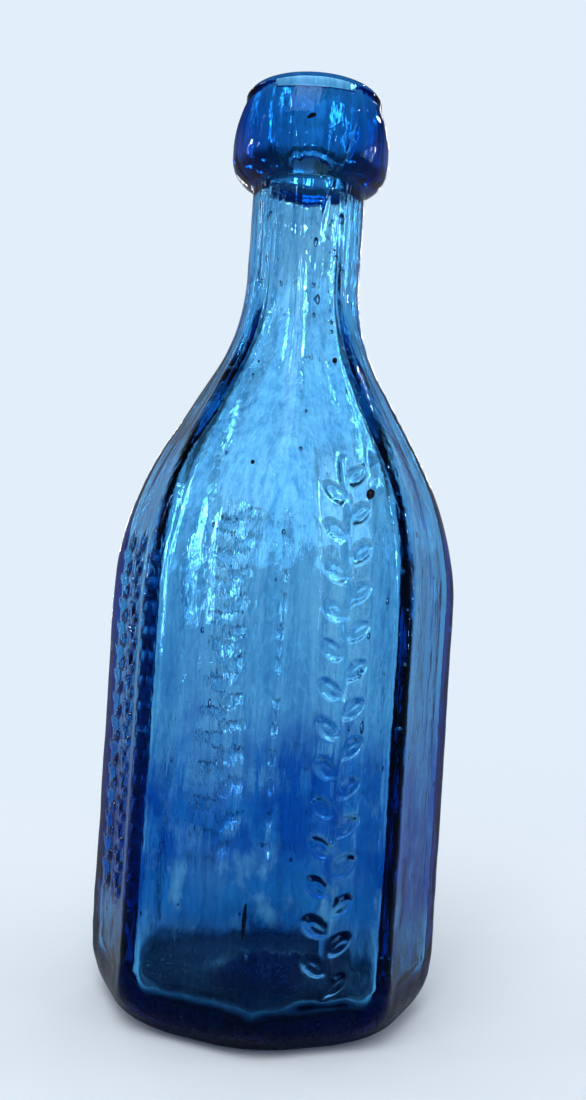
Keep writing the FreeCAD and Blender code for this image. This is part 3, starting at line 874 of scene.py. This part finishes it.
def make_glass_material():
    """Clear smooth glass with blue absorption inside, tints of painted shade, and a hazy film inside.
    """
    material = bpy.data.materials.new("deep_blue_glass")
    material.use_nodes = True
    nodes, links = material.node_tree.nodes, material.node_tree.links
    nodes.clear()
    glass_shader = nodes.new("ShaderNodeBsdfPrincipled")
    glass_shader.inputs["Transmission Weight"].default_value = 1.0
    glass_shader.inputs["IOR"].default_value = 1.52
    glass_shader.inputs["Specular Tint"].default_value = GLOSS_TINT
    place = nodes.new("ShaderNodeTexCoord").outputs["Object"]
    split = nodes.new("ShaderNodeSeparateXYZ")
    links.new(place, split.inputs[0])
    height = split.outputs["Z"]
    inner = attribute(nodes, "inner")
    outer = joined(nodes, links, "SUBTRACT", 1.0, inner)
    blotch = noise_texture(nodes, links, place, (70, 70, 45), 4.0)
    ripple = noise_texture(nodes, links, place, (900, 900, 260), 3.0)
    # One mask for the hazy film inside and the painted shade of the lower body outside.
    wander = ranged(nodes, links, blotch, 0.3, 0.7, -FILM_SHADE_WANDER, FILM_SHADE_WANDER)
    wavy_height = joined(nodes, links, "ADD", height, wander)
    film_and_shade = ranged(nodes, links, wavy_height, FILM_SHADE_FOOT, FILM_SHADE_HEAD, 1.0, 0.0)
    film_and_shade = times(nodes, links, film_and_shade, ranged(nodes, links, height, FILM_SHADE_END, FILM_SHADE_START, 0.0, 1.0))
    patch = noise_texture(nodes, links, place, (170, 170, 120), 7.0)
    film_and_shade = times(nodes, links, film_and_shade, ranged(nodes, links, patch, 0.50, 0.66, 1.0, 0.25))
    lower_body_shade = times(nodes, links, film_and_shade, outer)
    # Painted shade on the outside of the lip.
    lip = times(nodes, links, ranged(nodes, links, height, *LIP_START, 0.0, 1.0), outer)
    lip = times(nodes, links, lip, ranged(nodes, links, height, *LIP_END, 1.0, 0.0))
    # Painted shade over the inner floor, broken by small gaps.
    grains = noise_texture(nodes, links, place, (1400, 1400, 1400), 1.0)
    gaps = ranged(nodes, links, grains, 0.58, 0.62, 1.0, 0.0)
    inner_floor_shade = times(nodes, links, attribute(nodes, "floor"), gaps)
    # Painted shade darkens the underside, and the same mask makes it rough where it is scuffed.
    scuff_and_shade = ranged(nodes, links, height, SCUFF_SHADE_FOOT, SCUFF_SHADE_HEAD, 1.0, 0.0)
    # Painted shade in upright streaks, broken into dots.
    streak_noise = noise_texture(nodes, links, place, (620, 620, 40), 6.0)
    speckle = noise_texture(nodes, links, place, (1300, 1300, 500), 3.0)
    drawn = ranged(nodes, links, streak_noise, 0.40, 0.62, 0.0, 1.0)
    dotted = ranged(nodes, links, speckle, 0.38, 0.55, 0.25, 1.0)
    streak_shade = times(nodes, links, drawn, dotted)
    layers = [
        (streak_shade, STREAK_SHADE), (lower_body_shade, LOWER_BODY_SHADE), (scuff_and_shade, UNDERSIDE_SHADE), (inner_floor_shade, INNER_FLOOR_SHADE), (lip, LIP_SHADE),
    ]
    colour = CLEAR
    for factor, layer in layers:
        colour = tinted(nodes, links, colour, layer, factor)
    links.new(colour, glass_shader.inputs["Base Color"])
    haze = ranged(nodes, links, blotch, 0.5, 0.72, 0.0, 0.22)
    haze = times(nodes, links, times(nodes, links, haze, film_and_shade), inner)
    rough = ranged(nodes, links, ripple, 0.35, 0.8, 0.0, 0.05)
    for part in (haze, times(nodes, links, scuff_and_shade, speckle), times(nodes, links, inner_floor_shade, speckle)):
        rough = joined(nodes, links, "ADD", rough, part)
    links.new(rough, glass_shader.inputs["Roughness"])
    bump = nodes.new("ShaderNodeBump")
    bump.inputs["Strength"].default_value = 0.15
    bump.inputs["Distance"].default_value = 0.0004
    links.new(ripple, bump.inputs["Height"])
    links.new(bump.outputs["Normal"], glass_shader.inputs["Normal"])
    absorb = nodes.new("ShaderNodeVolumeAbsorption")
    absorb.inputs["Color"].default_value = tuple(1 - a / DENSITY for a in ABSORB) + (1,)
    absorb.inputs["Density"].default_value = DENSITY
    out = nodes.new("ShaderNodeOutputMaterial")
    links.new(glass_shader.outputs[0], out.inputs["Surface"])
    links.new(absorb.outputs[0], out.inputs["Volume"])
    return material


blue_glass = make_glass_material()
print("glass nodes:", len(blue_glass.node_tree.nodes))

# %% [markdown]
# ## Keeping the piece
#
# The bottle is one piece of glass, so all of its skin, bubbles included, is one mesh. It stays at
# the origin, unturned and unscaled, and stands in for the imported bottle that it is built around.

# %% Keep the glass


def keep_piece(bm, name, material):
    """Writes a bmesh to a smooth object of the scene at the origin."""
    for face in bm.faces:
        face.smooth = True
    mesh = bpy.data.meshes.new(name)
    bm.to_mesh(mesh)
    bm.free()
    mesh.materials.append(material)
    piece = bpy.data.objects.new(name, mesh)
    scene.collection.objects.link(piece)
    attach(piece, "root")
    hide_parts("bottle")
    triangles = sum(len(p.vertices) - 2 for p in mesh.polygons)
    print(name, "has", triangles, "triangles")
    return piece


keep_piece(glass, "glass_bottle", blue_glass)

# %% [markdown]
# ## Dark stones in the glass
#
# A few crumbs of the melting pot's clay were caught in the wall. They are rough, dark and dull.
# They could be painted spots, but a real lump in the glass is bent and magnified by it, so each
# stone is a small solid of its own, closed and uneven, between the two skins of the wall.

# %% Stones
STONES = [
    # degrees round, millimetres up, size across, size along, lean in degrees
    (12.2, 103.0, 0.85, 1.10, 20),
    (-36.3, 107.4, 0.42, 0.45, 0),
    (9.3, 129.2, 0.50, 0.70, 10),
    (-21.8, 176.5, 0.42, 0.90, 60),
    (14.4, 152.1, 0.24, 0.28, 0),
    (-51.3, 128.0, 0.24, 0.26, 0),
    (48.0, 88.0, 0.30, 0.40, 30),
    (140.0, 60.0, 0.50, 0.60, 15),
    (-150.0, 112.0, 0.40, 0.50, 40),
    (-25.8, 25.0, 0.42, 3.30, 3),
]
STONE_DEPTH = 2.0
STONE_UNEVENNESS = 0.22


def make_stone_material():
    """Dark burnt clay with small lighter grains."""
    material = bpy.data.materials.new("dark_stone")
    material.use_nodes = True
    nodes, links = material.node_tree.nodes, material.node_tree.links
    shader = nodes["Principled BSDF"]
    place = nodes.new("ShaderNodeTexCoord").outputs["Object"]
    grain = noise_texture(nodes, links, place, (2500, 2500, 2500), 3.0)
    mix = nodes.new("ShaderNodeMix")
    mix.data_type = "RGBA"
    mix.inputs["A"].default_value = (0.006, 0.006, 0.010, 1)
    mix.inputs["B"].default_value = (0.05, 0.04, 0.035, 1)
    links.new(ranged(nodes, links, grain, 0.45, 0.75, 0.0, 1.0), mix.inputs["Factor"])
    links.new(mix.outputs["Result"], shader.inputs["Base Color"])
    shader.inputs["Roughness"].default_value = 0.85
    return material


def make_stones():
    """Small uneven lumps between the outer and inner skins."""
    places = []
    for azimuth, height, across, along, lean in STONES:
        turn = Matrix.Rotation(math.radians(azimuth), 4, "Z")
        turn @= Matrix.Rotation(math.radians(lean), 4, "Y")
        places.append((wall_place(azimuth, height, STONE_DEPTH), turn, across, along))
    stones = make_lumps(places, 3)
    for vert in stones.verts:
        vert.co += Vector((1, 1, 1)) * STONE_UNEVENNESS * MM * noise.noise(vert.co / MM * 1.7)
    bmesh.ops.recalc_face_normals(stones, faces=stones.faces)
    return keep_piece(stones, "dark_stones", make_stone_material())


make_stones()
